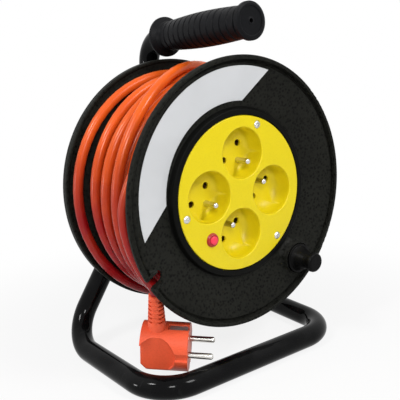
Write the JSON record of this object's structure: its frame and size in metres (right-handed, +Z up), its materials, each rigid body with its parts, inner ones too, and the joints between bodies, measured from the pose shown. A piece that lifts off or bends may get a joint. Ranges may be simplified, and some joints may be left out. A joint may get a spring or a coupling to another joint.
{
  "type": "extension cord reel",
  "caption": "Portable cord reel: flanged drum with a round multi-socket panel, wound orange cord, winding knob and reset button, on a bent steel tube with a grip and floor loop.",
  "frame": {"origin": "on the floor, in the middle of the object's box seen from above, leaving out the free cord and plug", "axes": "+Z up, +Y along the drum's axle from the socket panel towards the frame's post, +X to the right seen from the front"},
  "size_m": [0.21, 0.161, 0.2848],
  "materials": {
    "black_painted_tube": "glossy black powder coat",
    "black_painted_plate": "satin black paint",
    "black_grip": "matte dark grey",
    "black_plastic": "fine texture, matte black",
    "black_knob": "satin black",
    "dark_plastic": "matte",
    "white_plastic": "smooth natural white",
    "yellow_plastic": "smooth satin yellow",
    "orange_cord": "smooth orange sheath",
    "orange_plug": "satin orange moulding",
    "nickel_pins": "nickel plated",
    "zinc_steel": "zinc plated",
    "bare_steel": "turned steel",
    "spring_steel": "drawn wire",
    "brass_strip": "stamped strip",
    "red_bezel": "dark red",
    "red_button": "bright red",
    "white_label": "bare white satin label"
  },
  "bodies": {
    "frame": {"frame_tube": "black_painted_tube", "grip": "black_grip", "tube_end_cap": "black_plastic", "bearing_plate": "black_painted_plate", "frame_bolts": "zinc_steel", "frame_nuts": "zinc_steel", "axle": "bare_steel", "thrust_washer": "white_plastic", "retaining_washer": "bare_steel", "retaining_screw": "zinc_steel", "cord_lead": "orange_cord", "plug_strain_relief": "orange_plug", "plug_body": "orange_plug", "plug_pins": "nickel_pins", "plug_earth_contacts": "nickel_pins"},
    "drum": {"front_flange": "black_plastic", "label": "white_label", "rear_flange": "black_plastic", "flange_screws": "zinc_steel", "hub_barrel": "black_plastic", "bearing_bush": "white_plastic", "cord_clamp": "black_plastic", "socket_panel": "yellow_plastic", "panel_screws": "zinc_steel", "earth_pin_top": "nickel_pins", "earth_pin_left": "nickel_pins", "earth_pin_right": "nickel_pins", "earth_pin_bottom": "nickel_pins", "earth_strip": "brass_strip", "live_contacts": "brass_strip", "neutral_contacts": "brass_strip", "contact_carrier": "black_plastic", "thermal_cutout": "dark_plastic", "button_bezel": "red_bezel", "button_spring": "spring_steel", "knob_pin": "bare_steel", "cord_core": "orange_cord", "cord_turns": "orange_cord"},
    "knob": {"winding_knob": "black_knob"},
    "button": {"reset_button": "red_button"}
  },
  "joints": [
    {"name": "drum_spin", "type": "hinge", "parent": "frame", "child": "drum", "pos_m": [0, -0.0015, 0.143], "axis": [0, 1, 0], "continuous": true},
    {"name": "knob_spin", "type": "hinge", "parent": "drum", "child": "knob", "pos_m": [0.05721, -0.0655, 0.07946], "axis": [0, 1, 0], "continuous": true},
    {"name": "reset_press", "type": "slide", "parent": "drum", "child": "button", "axis": [0, 1, 0], "range_m": [0, 0.0014], "stiffness_N_per_m": 900, "springref_m": -0.0012, "deforming": ["button_spring"]}
  ]
}
